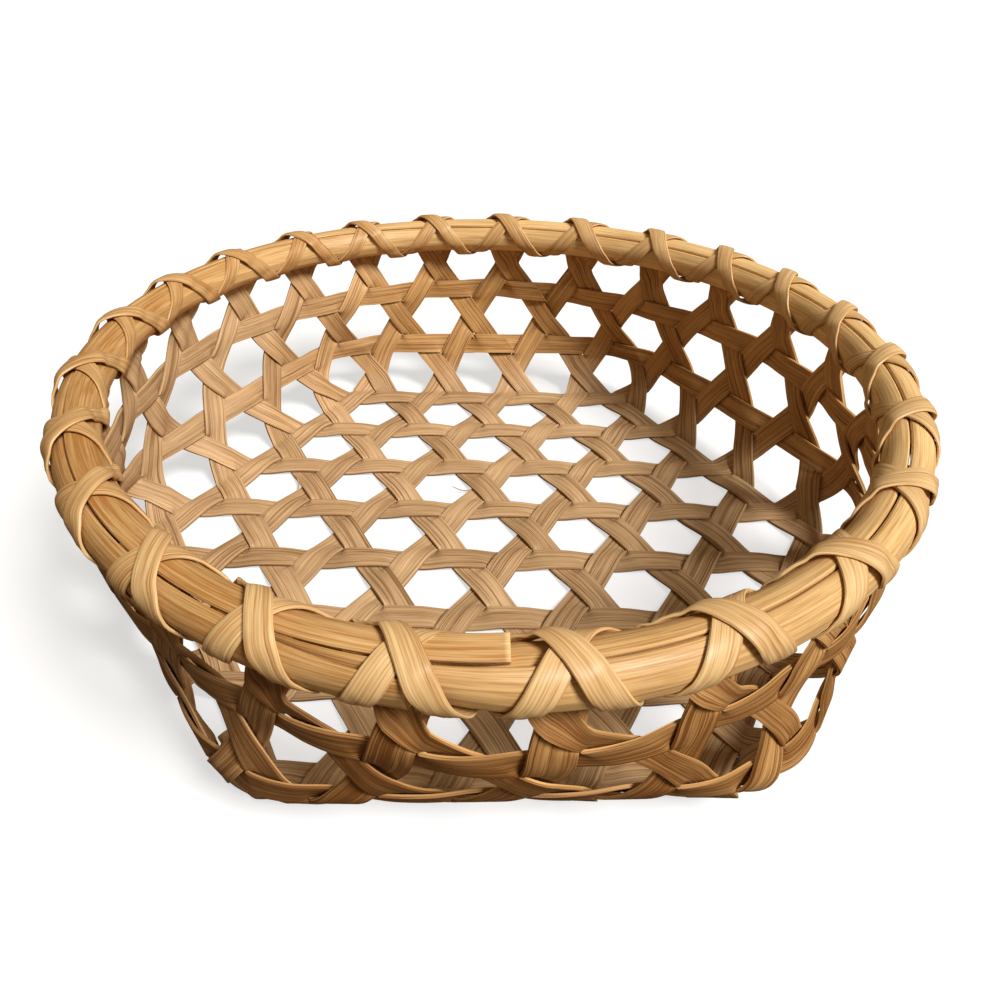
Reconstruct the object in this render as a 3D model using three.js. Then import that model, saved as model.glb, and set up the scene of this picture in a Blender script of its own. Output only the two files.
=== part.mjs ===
// A cheese basket of flat wooden splints in open hexagonal weave: a hexagonal base that folds up
// into a round, bellied wall, two hoops woven round the wall, and a rim of two half-round rods that
// clamp the splint ends, bound on by two lashings wound in opposite directions.
// Millimetres, +Z up, the origin on the floor under the middle of the base, +Y towards one flat side.

import * as THREE from "three";

// Driving dimensions
const SPLINT_WIDTH = 9.5;
const SPLINT_THICKNESS = 1;
const TRIANGLE_GAP = 0.8; // edge left clear in the small triangle between three splints
const LAYER_GAP = 0.3; // clearance between splints that lie on each other
const SIDE_OPENINGS = 4; // openings along one side of the hexagonal base
const WALL_HOOPS = 2;
const ROW_CLOSING = 1.12; // rows close up as they climb, by this times the square of the row
const FOLD_ANGLE = THREE.MathUtils.degToRad(47); // sharp turn at the edge of the base
const FOLD_RADIUS = 4;
const FOLD_OUTSET = 2.5; // from the outermost base splint's centre line out to the start of the fold
const BELLY_RADIUS = 74; // slack curve of the wall from the fold to the rim
const WALL_TWIST = 0.19; // the wall's openings move this far to the left, in openings, by the rim
const OVAL_GROWTH = 3.8; // the rim is this much longer along Y, and shorter along X, than a circle
const RIM_LIFT = 0.8; // clear height between the last crossings of the wall and the rim
const HOOP_HEIGHT = 11.6; // half-round rim rod, along the wall
const HOOP_THICKNESS = 5.9; // half-round rim rod, across the wall
const HOOP_ROUNDING = 1.4; // broken edges of its flat side
const HOOP_CLEARANCE = 0.3; // between a rim rod and the splint ends that it clamps
const SCARF_LENGTH = 45; // slanting joint of a rim rod
const JOINT_GAP = 0.5; // between the two ends of a ring
const END_DEPTH = 3; // of the splint ends in the groove on top of the rim
const LASH_WIDTH = 6.5;
const LASH_THICKNESS = 0.8;
const LASH_CLEARANCE = 0.6; // under a lashing, to the rim or to the other lashing

// Places round the rim, in openings, counted clockwise from +Y as seen from above
const INNER_JOINT = 11.6;
const OUTER_JOINT = 13;
const LASH_START = 12.25;

// Counts of straight pieces in curved parts
const RIM_STEPS = 72;
const ROD_FACETS = 5; // on the round side of a rim rod
const LASH_STEPS = 12; // in one turn

// Finishes
const SPLINT_FINISH = { color: 0xb98f5c, roughness: 0.72, metalness: 0 };
const ROD_FINISH = { color: 0xc39a62, roughness: 0.55, metalness: 0 };
const LASH_FINISH = { color: 0xc79a58, roughness: 0.6, metalness: 0 };

// The lattice: splints run in three directions and cross at equal steps. A row is the band of
// openings between two neighbouring splints of one direction, and rows go on up the wall.
const ROOT3 = Math.sqrt(3);
const CROSSING_PITCH = ROOT3 * SPLINT_WIDTH + TRIANGLE_GAP;
const OPENING_PITCH = 2 * CROSSING_PITCH;
const ROW_PITCH = (OPENING_PITCH * ROOT3) / 2;
const CROSSING_HALF = SPLINT_WIDTH / ROOT3; // half of a crossing, along the splint
const LAYER_OFFSET = (SPLINT_THICKNESS + LAYER_GAP) / 2; // of a crossing splint from the mid-surface
const BASE_LIFT = LAYER_OFFSET + SPLINT_THICKNESS / 2; // of the mid-surface above the floor
const SIDES = 6;
const SIXTH = Math.PI / 3;
const ROUND_OPENINGS = SIDES * SIDE_OPENINGS;
const OUTER_ROW = SIDE_OPENINGS - 0.5; // of the outermost base splint
const LAST_ROW = SIDE_OPENINGS + WALL_HOOPS; // of the last crossings, under the rim

// Distance from the centre of the base to a row, along the surface in the middle of a side.
function distanceTo(row) {
  return row * ROW_PITCH - ROW_CLOSING * Math.max(row - OUTER_ROW, 0) ** 2;
}

// The row at a distance, above the outermost base splint.
function rowAt(distance) {
  const beyond = distance - distanceTo(OUTER_ROW);
  return OUTER_ROW + (2 * beyond) / (ROW_PITCH + Math.sqrt(ROW_PITCH ** 2 - 4 * ROW_CLOSING * beyond));
}

const FOLD_START = distanceTo(OUTER_ROW) + FOLD_OUTSET;
const ROUND_AT = distanceTo(LAST_ROW); // from here up the plan is round
const RIM_AT = distanceTo(LAST_ROW + SPLINT_WIDTH / ROW_PITCH) + RIM_LIFT; // the rim's underside

const RIM_CLIMB = RIM_AT - FOLD_START - FOLD_RADIUS * FOLD_ANGLE; // length of the curve, fold to rim
const RIM_LEAN = FOLD_ANGLE + RIM_CLIMB / BELLY_RADIUS; // of the wall in the rim, from the floor

// Outward distance and height of the weave's mid-surface in the middle of a side: the fold, the
// slack curve up to the rim, and straight on inside the rim.
function profile(distance) {
  const beyond = Math.max(distance - FOLD_START, 0);
  const turn = Math.min(beyond / FOLD_RADIUS, FOLD_ANGLE);
  const climb = beyond - turn * FOLD_RADIUS;
  const curved = Math.min(climb, RIM_CLIMB);
  const lean = FOLD_ANGLE + curved / BELLY_RADIUS;
  const folded = { out: FOLD_RADIUS * Math.sin(turn), up: FOLD_RADIUS * (1 - Math.cos(turn)) };
  const slack = { out: Math.sin(lean) - Math.sin(FOLD_ANGLE), up: Math.cos(FOLD_ANGLE) - Math.cos(lean) };
  const straight = climb - curved;
  return {
    out: Math.min(distance, FOLD_START) + folded.out + BELLY_RADIUS * slack.out + straight * Math.cos(lean),
    up: folded.up + BELLY_RADIUS * slack.up + straight * Math.sin(lean),
  };
}

// How far the plan has turned from a hexagon, 0, into a circle, 1.
function roundness(distance) {
  return THREE.MathUtils.clamp((distance - FOLD_START) / (ROUND_AT - FOLD_START), 0, 1) ** 2;
}

// Radius of a rounded hexagon with an apothem of 1, at an angle from the middle of a side.
function planRadius(angle, round) {
  if (round < 0.02) return 1 / Math.cos(angle);
  const power = 2 / round;
  const lobe = (turned) => Math.abs(Math.cos(turned)) ** power;
  const sum = (turned) => lobe(turned - SIXTH) + lobe(turned) + lobe(turned + SIXTH);
  return (sum(angle) / sum(0)) ** (-1 / power);
}

// How far the weave has moved to the left on its way up the wall, in openings.
function twist(row) {
  return WALL_TWIST * (1 - THREE.MathUtils.clamp((LAST_ROW - row) / (LAST_ROW - OUTER_ROW), 0, 1) ** 2);
}

// A point of the mid-surface: on a side, u openings to the right of its middle as seen from inside,
// and v rows from the centre of the base. Above the base's corners u runs on into the next side.
function surface(side, u, v) {
  const distance = distanceTo(v);
  const round = roundness(distance);
  const across = (u * SIDE_OPENINGS) / Math.min(v, SIDE_OPENINGS) - twist(v);
  const turns = Math.round(across / SIDE_OPENINGS);
  const own = across / SIDE_OPENINGS - turns;
  const straight = Math.atan((2 * own) / ROOT3);
  const angle = straight + (own * SIXTH - straight) * round;
  const { out, up } = profile(distance);
  const radius = out * planRadius(angle, round);
  const heading = Math.PI / 2 - (side + turns) * SIXTH - angle;
  return new THREE.Vector3(radius * Math.cos(heading), radius * Math.sin(heading), BASE_LIFT + up);
}

// The mid-surface's normal, which points into the basket.
function surfaceNormal(side, u, v) {
  const step = 0.01;
  const alongU = surface(side, u + step, v).sub(surface(side, u - step, v));
  const alongV = surface(side, u, v + step).sub(surface(side, u, v - step));
  return alongU.cross(alongV).normalize();
}

// A place on the weave, offset from the mid-surface into the basket.
function place([side, u, v], offset) {
  return surface(side, u, v).addScaledVector(surfaceNormal(side, u, v), offset);
}

// The rim's section: across is measured into the basket from the weave's mid-surface, and rise up
// the wall from the underside of the rim.
const RIM_FOOT = profile(RIM_AT);
const CLAMP_HALF = SPLINT_THICKNESS / 2 + HOOP_CLEARANCE;
const RIM_HALF = CLAMP_HALF + HOOP_THICKNESS;
const SPLINT_TUCK = HOOP_HEIGHT - END_DEPTH; // of the splint ends in the rim

function rimPoint(openings, across, rise) {
  const radius = RIM_FOOT.out + rise * Math.cos(RIM_LEAN) - across * Math.sin(RIM_LEAN);
  const up = RIM_FOOT.up + rise * Math.sin(RIM_LEAN) + across * Math.cos(RIM_LEAN);
  const heading = Math.PI / 2 - (openings / ROUND_OPENINGS) * 2 * Math.PI;
  return new THREE.Vector3(radius * Math.cos(heading), radius * Math.sin(heading), BASE_LIFT + up);
}

// The basket grows from a regular hexagon at the base to a slightly oval rim.
function oval(point) {
  const share = THREE.MathUtils.smoothstep(point.z, BASE_LIFT, BASE_LIFT + RIM_FOOT.up);
  const growth = (share * OVAL_GROWTH) / RIM_FOOT.out;
  return new THREE.Vector3(point.x * (1 - growth), point.y * (1 + growth), point.z);
}

// A closed solid through sections with the same number of corners, listed one section after another.
// slants picks the diagonal that splits the broad faces of a four-cornered section.
function loft(corners, count, slants = []) {
  const last = corners.length / count - 1;
  const faces = [];
  for (let section = 0; section < last; section++) {
    for (let corner = 0; corner < count; corner++) {
      const a = section * count + corner;
      const b = section * count + ((corner + 1) % count);
      const slant = (slants[section] || 0) * [1, 0, -1, 0][corner % 4];
      if (slant < 0) faces.push(a, b, b + count, a, b + count, a + count);
      else faces.push(a, b, a + count, b, b + count, a + count);
    }
  }
  const end = last * count;
  for (let corner = 1; corner < count - 1; corner++) {
    faces.push(0, corner + 1, corner, end, end + corner, end + corner + 1);
  }
  const geometry = new THREE.BufferGeometry().setFromPoints(corners.map(oval));
  geometry.setIndex(faces);
  geometry.computeVertexNormals();
  return geometry;
}

// A flat splint through sections of a left and a right spot on the weave.
function splint(sections) {
  const half = SPLINT_THICKNESS / 2;
  const corners = sections.flatMap(({ left, right, offset }) => [
    place(left, offset + half),
    place(right, offset + half),
    place(right, offset - half),
    place(left, offset - half),
  ]);
  return loft(corners, 4, sections.map((section) => section.slant));
}

// A section cut along the edge of the splint that crosses here. A splint lies over the one that
// slants to its right, over = 1, and under the one that slants to its left, over = -1.
function slantedSection(spotAt, along, over, offset, slant = 0) {
  const edge = SPLINT_WIDTH / 2;
  const skew = (over * edge) / ROOT3;
  return { left: spotAt(along - skew, edge), right: spotAt(along + skew, -edge), offset, slant };
}

function crossing(spotAt, along, over, offset) {
  return [
    slantedSection(spotAt, along - CROSSING_HALF, over, offset, -over),
    slantedSection(spotAt, along + CROSSING_HALF, over, offset),
  ];
}

function overAt(index) {
  return index % 2 === 0 ? 1 : -1;
}

// Base splints: each runs straight across the base and up the wall at both ends, into the rim.
// heading counts turns of 60 degrees from +X, and row counts splints to the left of the centre.
function splintSpot(heading, row, along, across) {
  if (along < 0) return splintSpot(heading + SIDES / 2, -row - 1, -along, -across);
  const angle = heading * SIXTH;
  const left = (row + 0.5) * ROW_PITCH + across;
  const x = along * Math.cos(angle) - left * Math.sin(angle);
  const y = along * Math.sin(angle) + left * Math.cos(angle);
  const spotOn = (side) => {
    const outward = Math.PI / 2 - side * SIXTH;
    const u = (x * Math.sin(outward) - y * Math.cos(outward)) / OPENING_PITCH;
    const v = (x * Math.cos(outward) + y * Math.sin(outward)) / ROW_PITCH;
    return [side, u, v];
  };
  const exit = spotOn(row >= 0 ? 1 - heading : 2 - heading);
  if (exit[2] >= SIDE_OPENINGS) return exit;
  return spotOn(Math.round((Math.PI / 2 - Math.atan2(y, x)) / SIXTH));
}

function tucked([side, u, v]) {
  return [side, u, rowAt(distanceTo(v) + SPLINT_TUCK)];
}

function baseSplint(heading, row) {
  const spotAt = (along, across) => splintSpot(heading, row, along, across);
  const reach = (v) => (v - Math.abs(row + 0.5) / 2) * OPENING_PITCH;
  const last = Math.round(reach(LAST_ROW) / CROSSING_PITCH - 0.5);
  const rimReach = reach(rowAt(RIM_AT));
  const start = slantedSection(spotAt, -rimReach, overAt(row - last - 2), 0);
  const end = slantedSection(spotAt, rimReach, overAt(row + last + 1), 0);
  const tail = (section) => ({ left: tucked(section.left), right: tucked(section.right), offset: 0 });
  const sections = [tail(start), start];
  for (let index = -last - 1; index <= last; index++) {
    const over = overAt(row + index);
    sections.push(...crossing(spotAt, (index + 0.5) * CROSSING_PITCH, over, over * LAYER_OFFSET));
  }
  return splint([...sections, end, tail(end)]);
}

// Wall hoops: each is woven once round the wall and laps over its own start at one crossing.
function wallHoop(index) {
  const row = SIDE_OPENINGS + index;
  const spotAt = (along, across) => [0, along / OPENING_PITCH, row + 0.5 + across / ROW_PITCH];
  const first = row % 2;
  const last = first + 2 * ROUND_OPENINGS;
  const sections = [];
  for (let step = first; step <= last; step++) {
    const over = overAt(row + step);
    const lap = step === last ? SPLINT_THICKNESS + LAYER_GAP : 0;
    sections.push(...crossing(spotAt, (step + 0.5) * CROSSING_PITCH, over, over * LAYER_OFFSET + lap));
  }
  return splint(sections);
}

// Rim rods: half-round rods on both sides of the splint ends, flat side to the splints, each closed
// by a slanting scarf. The outline lists depth from the flat side and rise.
function signedPower(value, power) {
  return Math.sign(value) * Math.abs(value) ** power;
}

function rodOutline() {
  const fullness = 0.9; // below 1 the round side is fuller than an ellipse
  const outline = [[0, HOOP_HEIGHT - HOOP_ROUNDING], [HOOP_ROUNDING, HOOP_HEIGHT]];
  for (let facet = 1; facet < ROD_FACETS; facet++) {
    const angle = Math.PI * (0.5 - facet / ROD_FACETS);
    const bulge = (HOOP_THICKNESS - HOOP_ROUNDING) * Math.cos(angle) ** fullness;
    const rise = (HOOP_HEIGHT / 2) * (1 + signedPower(Math.sin(angle), fullness));
    outline.push([HOOP_ROUNDING + bulge, rise]);
  }
  return [...outline, [HOOP_ROUNDING, 0], [0, HOOP_ROUNDING]];
}

function rimRod(inward, joint) {
  const scarf = (SCARF_LENGTH / RIM_FOOT.out / (2 * Math.PI)) * ROUND_OPENINGS;
  const whole = ROUND_OPENINGS * (1 - JOINT_GAP / RIM_FOOT.out / (2 * Math.PI));
  const outline = inward > 0 ? rodOutline() : rodOutline().reverse();
  const corners = [];
  for (let step = 0; step <= RIM_STEPS; step++) {
    const along = (whole * step) / RIM_STEPS;
    const slant = scarf * Math.max(0, 1 - Math.min(along, whole - along) / (2 * scarf));
    for (const [depth, rise] of outline) {
      const lead = slant * inward * (depth / HOOP_THICKNESS - 0.5);
      corners.push(rimPoint(joint + along + lead, inward * (CLAMP_HALF + depth), rise));
    }
  }
  return loft(corners, outline.length);
}

// Lashings: flat strips wound round the whole rim, one turn for each opening. They cross on top of
// the rim and again under it, where both pass through the same opening of the weave.
function lashPoint(turn, angle, over) {
  const corner = 0.72; // squares off the path round the two rods
  const crossover = THREE.MathUtils.smoothstep(Math.abs(Math.sin(angle)), 0.2, 0.8);
  const layer = LASH_THICKNESS + LASH_CLEARANCE;
  const stand = LASH_CLEARANCE + LASH_THICKNESS / 2 + over * crossover * layer;
  const across = (RIM_HALF + stand) * signedPower(Math.cos(angle), corner);
  const height = (HOOP_HEIGHT / 2 + stand) * signedPower(Math.sin(angle), corner);
  return rimPoint(turn - WALL_TWIST, across, HOOP_HEIGHT / 2 + height);
}

function lashing(way, over) {
  const steps = (ROUND_OPENINGS - 0.5) * LASH_STEPS;
  const small = 0.01;
  const corners = [];
  const line = [];
  for (let step = 0; step <= steps; step++) {
    const turn = LASH_START + step / LASH_STEPS;
    const angle = (way * turn * 2 - 0.5) * Math.PI;
    const at = lashPoint(turn, angle, over);
    const along = lashPoint(turn + small, angle, 0).sub(lashPoint(turn - small, angle, 0));
    const round = lashPoint(turn, angle + small, 0).sub(lashPoint(turn, angle - small, 0));
    const outward = along.clone().cross(round).normalize();
    const ahead = along.addScaledVector(round, way * 2 * Math.PI).normalize();
    const sideways = outward.clone().cross(ahead);
    for (const [left, top] of [[1, 1], [-1, 1], [-1, -1], [1, -1]]) {
      const corner = at.clone().addScaledVector(sideways, (left * LASH_WIDTH) / 2);
      corners.push(corner.addScaledVector(outward, (top * LASH_THICKNESS) / 2));
    }
    line.push(at);
  }
  return { geometry: loft(corners, 4, Array(steps).fill(-way)), line };
}

// Least clear distance between one turn of a lashing and the next, measured on its centre line.
function leastGap(line) {
  let least = Infinity;
  for (let i = 0; i < line.length; i++) {
    for (let j = i + LASH_STEPS; j < line.length; j++) {
      least = Math.min(least, line[i].distanceTo(line[j]));
    }
  }
  return least - Math.hypot(LASH_WIDTH, LASH_THICKNESS);
}

const basket = new THREE.Group();

function addPiece(name, geometry, finish) {
  const mesh = new THREE.Mesh(geometry, new THREE.MeshStandardMaterial(finish));
  mesh.name = name;
  basket.add(mesh);
}

["cross", "rising", "falling"].forEach((direction, heading) => {
  for (let row = -SIDE_OPENINGS; row < SIDE_OPENINGS; row++) {
    addPiece(`${direction}_splint_${row + SIDE_OPENINGS + 1}`, baseSplint(heading, row), SPLINT_FINISH);
  }
});
for (let index = 0; index < WALL_HOOPS; index++) {
  addPiece(`wall_hoop_${index + 1}`, wallHoop(index), SPLINT_FINISH);
}
addPiece("rim_inner_rod", rimRod(1, INNER_JOINT), ROD_FINISH);
addPiece("rim_outer_rod", rimRod(-1, OUTER_JOINT), ROD_FINISH);
for (const [name, way, over] of [["under_lashing", 1, 0], ["over_lashing", -1, 1]]) {
  const { geometry, line } = lashing(way, over);
  console.log(`${name}: least gap to itself ${leastGap(line).toFixed(1)} mm`);
  addPiece(name, geometry, LASH_FINISH);
}

export default basket;
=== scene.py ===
import bpy
import numpy as np
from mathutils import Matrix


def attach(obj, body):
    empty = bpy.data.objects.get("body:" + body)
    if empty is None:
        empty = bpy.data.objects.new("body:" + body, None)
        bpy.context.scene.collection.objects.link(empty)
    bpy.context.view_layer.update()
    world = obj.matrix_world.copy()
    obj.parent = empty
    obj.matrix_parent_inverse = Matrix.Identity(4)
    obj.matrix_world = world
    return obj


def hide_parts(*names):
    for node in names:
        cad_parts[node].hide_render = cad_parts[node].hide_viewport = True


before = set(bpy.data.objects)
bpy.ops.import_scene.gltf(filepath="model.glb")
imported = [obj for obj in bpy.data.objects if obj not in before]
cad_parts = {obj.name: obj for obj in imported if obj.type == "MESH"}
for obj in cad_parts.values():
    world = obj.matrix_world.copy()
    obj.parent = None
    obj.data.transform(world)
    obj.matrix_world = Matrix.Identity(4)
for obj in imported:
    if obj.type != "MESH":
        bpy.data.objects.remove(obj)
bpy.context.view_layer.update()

# Base splints
# Twenty-four flat wooden splints, split and shaved to about a millimetre, in three directions. Each
# crosses the six-sided base, bends up at its edge and climbs the wall aslant into the rim. Nothing
# but the weave holds them: every splint goes over one neighbour and under the next.
MM = 0.001
SPLINT_WIDTH = 9.5
SPLINT_THICKNESS = 1.1
TRIANGLE_GAP = 0.8
LAYER_OFFSET = 0.65
SIDE_OPENINGS = 4
WALL_HOOPS = 2
ROW_CLOSING = 1.12
FOLD_ANGLE = np.radians(47)
FOLD_RADIUS = 4
FOLD_OUTSET = 2.5
BELLY_RADIUS = 74
WALL_TWIST = 0.19
OVAL_GROWTH = 3.8
RIM_LIFT = 0.8
RIM_HALF_HEIGHT = 5.8
BASE_LIFT = 1.4

ROOT3 = np.sqrt(3)
SIXTH = np.pi / 3
CROSSING_PITCH = ROOT3 * SPLINT_WIDTH + TRIANGLE_GAP
CROSSING_HALF = SPLINT_WIDTH / ROOT3
OPENING_PITCH = 2 * CROSSING_PITCH
ROW_PITCH = OPENING_PITCH * ROOT3 / 2
ROUND_OPENINGS = 6 * SIDE_OPENINGS
OUTER_ROW = SIDE_OPENINGS - 0.5
LAST_ROW = SIDE_OPENINGS + WALL_HOOPS


def distance_to(row):
    """How far a row of openings lies from the base's centre. The rows close up on the wall."""
    return row * ROW_PITCH - ROW_CLOSING * np.maximum(row - OUTER_ROW, 0) ** 2


def row_at(distance):
    """The row at a distance beyond the base, which is distance_to turned round."""
    beyond = distance - distance_to(OUTER_ROW)
    return OUTER_ROW + 2 * beyond / (ROW_PITCH + np.sqrt(ROW_PITCH**2 - 4 * ROW_CLOSING * beyond))


FOLD_START = distance_to(OUTER_ROW) + FOLD_OUTSET
ROUND_AT = distance_to(LAST_ROW)
RIM_AT = distance_to(LAST_ROW + SPLINT_WIDTH / ROW_PITCH) + RIM_LIFT
RIM_CLIMB = RIM_AT - FOLD_START - FOLD_RADIUS * FOLD_ANGLE
RIM_LEAN = FOLD_ANGLE + RIM_CLIMB / BELLY_RADIUS


def profile(distance):
    """Outward distance and height of the weave: the fold, a slack curve, and straight in the rim."""
    beyond = np.maximum(distance - FOLD_START, 0)
    turn = np.minimum(beyond / FOLD_RADIUS, FOLD_ANGLE)
    climb = beyond - turn * FOLD_RADIUS
    curved = np.minimum(climb, RIM_CLIMB)
    lean = FOLD_ANGLE + curved / BELLY_RADIUS
    straight = climb - curved
    out = np.minimum(distance, FOLD_START) + FOLD_RADIUS * np.sin(turn)
    out = out + BELLY_RADIUS * (np.sin(lean) - np.sin(FOLD_ANGLE)) + straight * np.cos(lean)
    up = FOLD_RADIUS * (1 - np.cos(turn)) + BELLY_RADIUS * (np.cos(FOLD_ANGLE) - np.cos(lean))
    return out, up + straight * np.sin(lean)


RIM_OUT, RIM_UP = profile(RIM_AT)
RIM_MIDDLE_OUT = RIM_OUT + RIM_HALF_HEIGHT * np.cos(RIM_LEAN)
RIM_MIDDLE_UP = BASE_LIFT + RIM_UP + RIM_HALF_HEIGHT * np.sin(RIM_LEAN)
LEAST_ROUND = 0.02


def plan_radius(angle, roundness):
    """Radius of the plan against its side's middle: a six-sided base that turns into a round rim."""
    power = 2 / np.maximum(roundness, LEAST_ROUND)

    def lobes(turned):
        return sum(np.abs(np.cos(turned + shift)) ** power for shift in (-SIXTH, 0, SIXTH))

    softened = (lobes(angle) / lobes(0)) ** (-1 / power)
    return np.where(roundness < LEAST_ROUND, 1 / np.cos(angle), softened)


def twist(row):
    """How many openings the wall has turned against the base, all of it reached at the last row."""
    return WALL_TWIST * (1 - np.clip((LAST_ROW - row) / (LAST_ROW - OUTER_ROW), 0, 1) ** 2)


def surface(side, u, v):
    """The weave's middle surface, u openings along one of the six sides and v rows out."""
    distance = distance_to(v)
    roundness = np.clip((distance - FOLD_START) / (ROUND_AT - FOLD_START), 0, 1) ** 2
    across = u * SIDE_OPENINGS / np.minimum(v, SIDE_OPENINGS) - twist(v)
    turns = np.floor(across / SIDE_OPENINGS + 0.5)
    own = across / SIDE_OPENINGS - turns
    straight = np.arctan(2 * own / ROOT3)
    angle = straight + (own * SIXTH - straight) * roundness
    out, up = profile(distance)
    radius = out * plan_radius(angle, roundness)
    heading = np.pi / 2 - (side + turns) * SIXTH - angle
    return np.stack([radius * np.cos(heading), radius * np.sin(heading), BASE_LIFT + up], -1)


def unit(vectors):
    return vectors / np.linalg.norm(vectors, axis=-1, keepdims=True)


def place(spot, offset):
    """Points that stand off the weave's middle surface, and its normals there."""
    side, u, v = spot
    step = 0.01
    along_u = surface(side, u + step, v) - surface(side, u - step, v)
    along_v = surface(side, u, v + step) - surface(side, u, v - step)
    normal = unit(np.cross(along_u, along_v))
    return surface(side, u, v) + normal * offset[:, None], normal


# How this one basket came out of the hand. A bend of the ring is its number of lobes, its size, and the
# heading of a peak in degrees. The roll's size is in degrees too, and the slip's in openings. A pair is
# where an effect starts and where it has come in full.
RING_OUTWARD = ((1, 2.8, 248), (2, 2.3, 126), (3, 3.0, 77))
RING_UPWARD = ((1, 1.0, 266), (2, 2.5, 47))
RING_ROLL = ((0, -3, 0), (1, 35.5, 27))
RING_SLIP = ((0, 0.09, 0), (1, 0.07, 248), (2, 0.07, 167), (3, 0.165, 48))
ROLL_FADE = (8.5, 15.5)
SLIP_HEIGHTS = (30, 68)
LOW_WALL_END = (25, 60)
FRONT_SHIFT = 4
FRONT_DEPTH = (40, 100)
FRONT_FOOT = (2, 14)
LEFT_PULL = 0.6
LEFT_CORNER = (40, 100)
RIGHT_PULL = 0.7
RIGHT_RETURN = 1.9
RIGHT_CORNER = (20, 100)
RIGHT_HEIGHTS = (10, 28)
FRONT_SKEW = 0.035
SKEW_FADE = (60, 105)
SKEW_DEPTH = (80, 110)


def eased(value):
    value = np.clip(value, 0, 1)
    return value * value * (3 - 2 * value)


def ramp(value, start, full):
    return eased((value - start) / (full - start))


def bends(lobes, heading):
    """A value that changes slowly round the basket. Each bend has its number of lobes, its size, and the
    heading in degrees, clockwise from the back, at which one lobe peaks."""
    return sum(size * np.cos(count * (heading - np.radians(peak))) for count, size, peak in lobes)


def settle(points):
    """The finished basket's shape by hand: the rim is oval, a little bent and rolled, the top of the
    wall has slipped along it, and the low front wall is pulled to one side."""
    x, y, z = np.moveaxis(points, -1, 0)
    radius, heading = np.hypot(x, y), np.arctan2(x, y)
    share = eased((z - BASE_LIFT) / RIM_UP)
    out, up = radius - RIM_MIDDLE_OUT, z - RIM_MIDDLE_UP
    roll = np.radians(bends(RING_ROLL, heading)) * (1 - ramp(np.hypot(out, up), *ROLL_FADE))
    radius = RIM_MIDDLE_OUT + out * np.cos(roll) - up * np.sin(roll)
    radius = radius + share**2 * bends(RING_OUTWARD, heading)
    up = RIM_MIDDLE_UP + out * np.sin(roll) + up * np.cos(roll) + share**2 * bends(RING_UPWARD, heading)
    slip = ramp(z, *SLIP_HEIGHTS) * bends(RING_SLIP, heading)
    heading = heading + slip * 2 * np.pi / ROUND_OPENINGS
    growth = share * OVAL_GROWTH / RIM_OUT
    low = 1 - ramp(z, *LOW_WALL_END)
    right = ramp(x, *RIGHT_CORNER) * (RIGHT_PULL - RIGHT_RETURN * ramp(z, *RIGHT_HEIGHTS))
    pulled = 1 + LEFT_PULL * ramp(-x, *LEFT_CORNER) + right
    shift = FRONT_SHIFT * pulled * ramp(-y, *FRONT_DEPTH) * ramp(z, *FRONT_FOOT) * low
    skew = FRONT_SKEW * x * (1 - ramp(x, *SKEW_FADE)) * ramp(-y, *SKEW_DEPTH) * low
    x = radius * np.sin(heading) * (1 - growth) + shift
    return np.stack([x, radius * np.cos(heading) * (1 + growth) + skew, up], -1)


def splint_spot(heading, row, along, across):
    """The side, opening and row that a place on a splint falls on, when the weave is laid out flat."""
    back = along < 0
    turn = np.where(back, heading + 3, heading)
    line = np.where(back, -row - 1, row)
    angle = turn * SIXTH
    left = (line + 0.5) * ROW_PITCH + np.where(back, -across, across)
    x = np.abs(along) * np.cos(angle) - left * np.sin(angle)
    y = np.abs(along) * np.sin(angle) + left * np.cos(angle)

    def on(side):
        outward = np.pi / 2 - side * SIXTH
        u = (x * np.sin(outward) - y * np.cos(outward)) / OPENING_PITCH
        return u, (x * np.cos(outward) + y * np.sin(outward)) / ROW_PITCH

    leaving = np.where(line >= 0, 1 - turn, 2 - turn)
    nearest = np.floor((np.pi / 2 - np.arctan2(y, x)) / SIXTH + 0.5)
    side = np.where(on(leaving)[1] >= SIDE_OPENINGS, leaving, nearest)
    return side, *on(side)


def over_at(index):
    return 1 if index % 2 == 0 else -1


PASSAGE_STEPS = 9
CROSSING_STEPS = 7


def weave_line(centres, overs, crowns, ends):
    """Stations along a splint: its place, which way its section slants, and its offset. Each station also
    carries the offset's slope, which the passages between crossings take up."""
    stations = []

    def carry(start, end):
        start_at, start_slant, start_lift, start_slope = start
        end_at, end_slant, end_lift, end_slope = end
        run = end_at - start_at
        for t in np.linspace(0, 1, PASSAGE_STEPS)[1:-1]:
            bend = (2 * t - 3) * t * t
            lift = start_lift * (1 + bend) - end_lift * bend
            lift += run * ((t**3 - 2 * t * t + t) * start_slope + (t**3 - t * t) * end_slope)
            stations.append((start_at + run * t, start_slant + (end_slant - start_slant) * t, lift, 0))

    previous = ends[0]
    stations.append(previous)
    for centre, over, crown in zip(centres, overs, crowns):
        layer = over * LAYER_OFFSET
        crossing = [
            (
                centre + CROSSING_HALF * t,
                over,
                layer * (1 + crown * (1 - t * t)),
                -2 * t * crown * layer / CROSSING_HALF,
            )
            for t in np.linspace(-1, 1, CROSSING_STEPS)
        ]
        carry(previous, crossing[0])
        stations.extend(crossing)
        previous = crossing[-1]
    carry(previous, ends[1])
    stations.append(ends[1])
    along, slant, offset, _ = np.array(stations, float).T
    return along, slant, offset


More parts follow.
